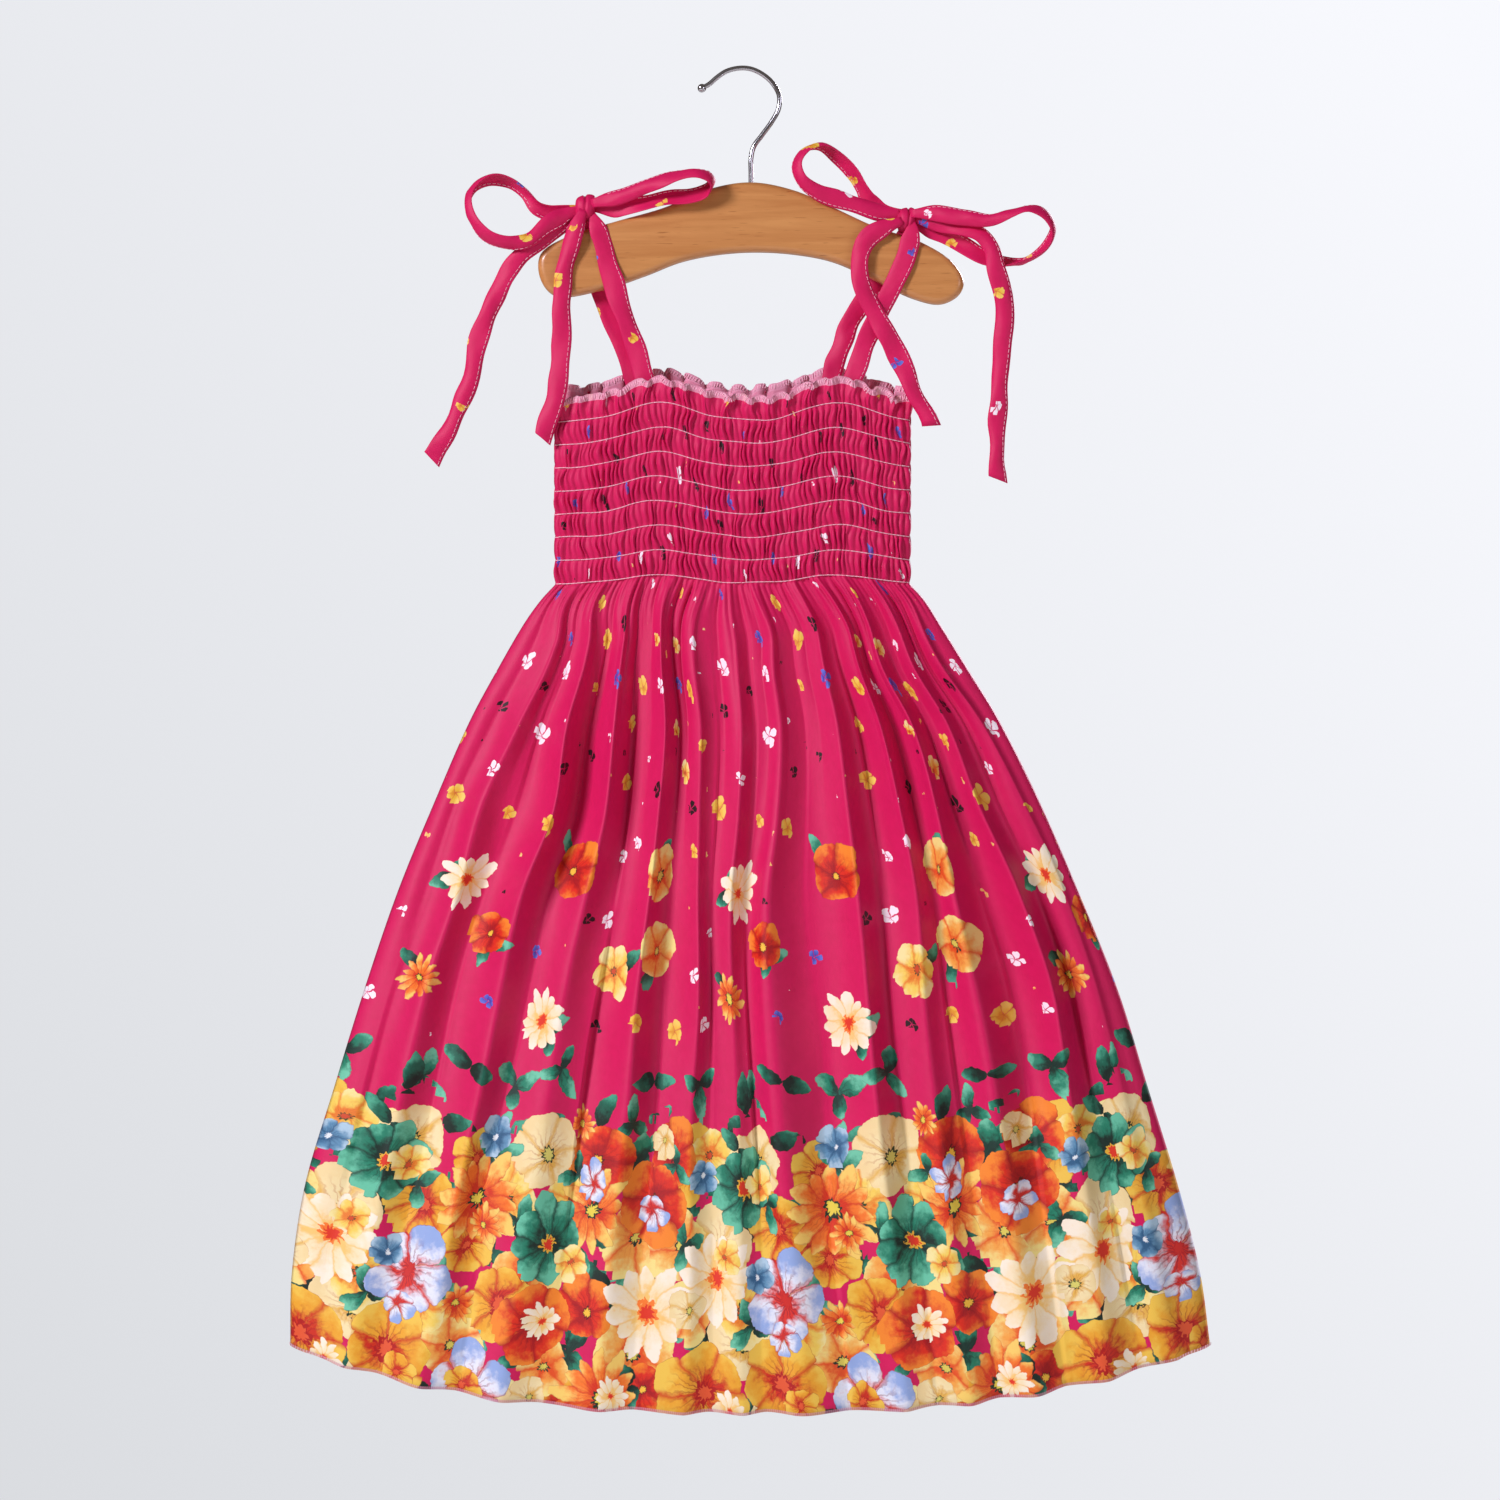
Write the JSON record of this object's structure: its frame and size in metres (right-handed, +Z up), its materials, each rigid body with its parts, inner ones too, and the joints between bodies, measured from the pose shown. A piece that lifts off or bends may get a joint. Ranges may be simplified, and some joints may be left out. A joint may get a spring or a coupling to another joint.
{
  "type": "toddler sundress on a hanger",
  "caption": "Toddler sundress with a shirred bodice, frilled neck, gathered skirt and tied tape straps, hung flat on a small curved wooden hanger with a wire hook.",
  "frame": {"origin": "underside of the hook's crown, the point that rests on a rail or peg", "axes": "+Z up, -Y out of the front of the dress, +X to the right of the dress seen from the front"},
  "size_m": [0.5546, 0.0802, 0.8085],
  "materials": {
    "printed_cotton": "matt light woven cotton, magenta with a printed flower border",
    "tie_cotton": "folded and topstitched tape of the same cotton",
    "hanger_wood": "light wood with a satin clear varnish",
    "hook_chrome": "bright plated wire"
  },
  "bodies": {
    "root": {"front_panel": "printed_cotton", "back_panel": "printed_cotton", "left_bow_knot": "tie_cotton", "left_front_riser": "tie_cotton", "left_back_riser": "tie_cotton", "left_tail_inner": "tie_cotton", "left_tail_outer": "tie_cotton", "left_loop_inner": "tie_cotton", "left_loop_outer": "tie_cotton", "right_bow_knot": "tie_cotton", "right_front_riser": "tie_cotton", "right_back_riser": "tie_cotton", "right_tail_inner": "tie_cotton", "right_tail_outer": "tie_cotton", "right_loop_inner": "tie_cotton", "right_loop_outer": "tie_cotton", "hanger": "hanger_wood", "hook": "hook_chrome"}
  },
  "joints": []
}
